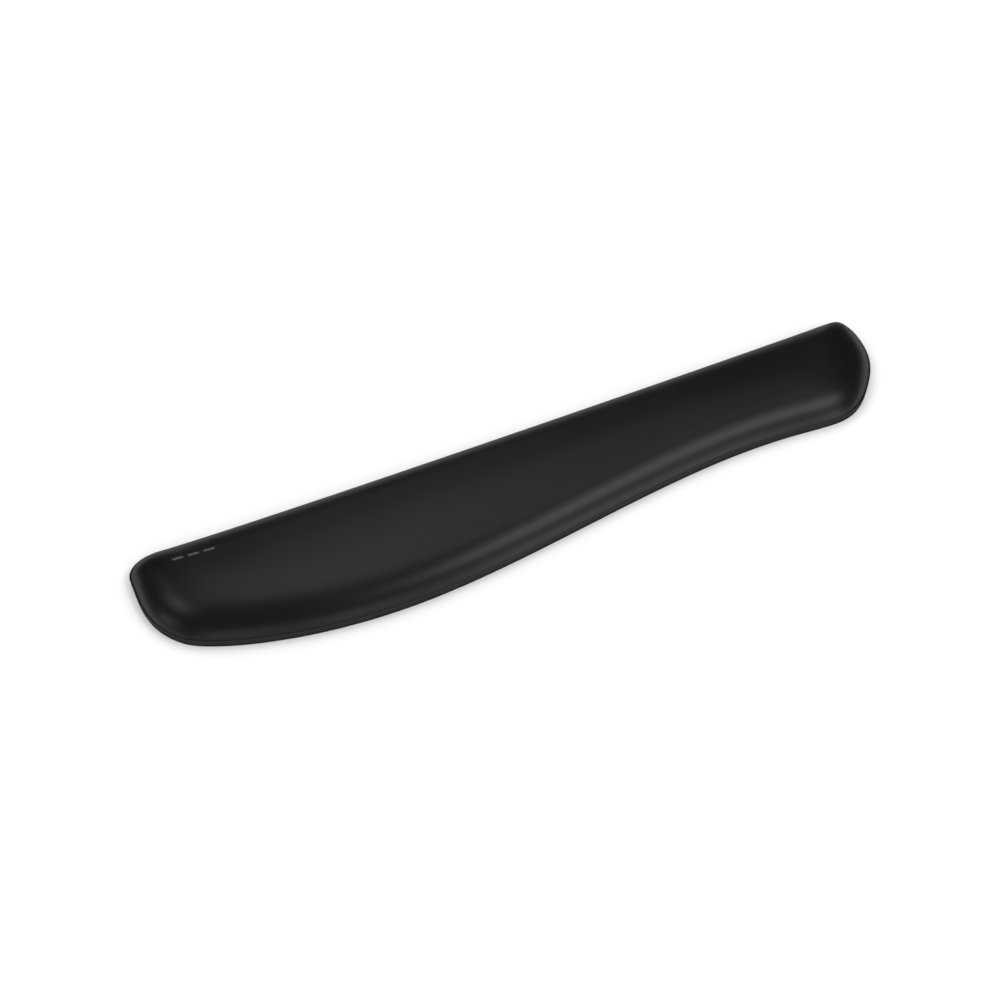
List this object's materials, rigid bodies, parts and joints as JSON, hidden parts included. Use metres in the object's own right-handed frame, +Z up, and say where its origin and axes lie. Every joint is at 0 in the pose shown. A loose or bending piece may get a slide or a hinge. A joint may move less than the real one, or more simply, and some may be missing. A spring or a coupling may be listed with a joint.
{
  "type": "wrist rest",
  "caption": "Low keyboard wrist rest with a wavy front edge: a domed soft-touch skin over gel and foam, on a rigid lipped base with a non-slip mat.",
  "frame": {"origin": "on the desk, under the middle of the plan's bounding box", "axes": "+X along the length towards the narrow end, +Y towards the keyboard and the straight edge, +Z up"},
  "size_m": [0.4404, 0.0874, 0.017],
  "materials": {
    "soft_touch_skin": "matte",
    "barrier_film": "satin",
    "gel": "gloss",
    "foam": "matte",
    "adhesive": "satin",
    "board": "matte",
    "grip_rubber": "matte"
  },
  "bodies": {
    "root": {"cover_skin": "soft_touch_skin", "gel_top_film": "barrier_film", "gel_pad": "gel", "gel_backing_film": "barrier_film", "foam_core": "foam", "deck_adhesive": "adhesive", "base_board": "board", "mat_adhesive": "adhesive", "grip_mat": "grip_rubber"}
  },
  "joints": []
}
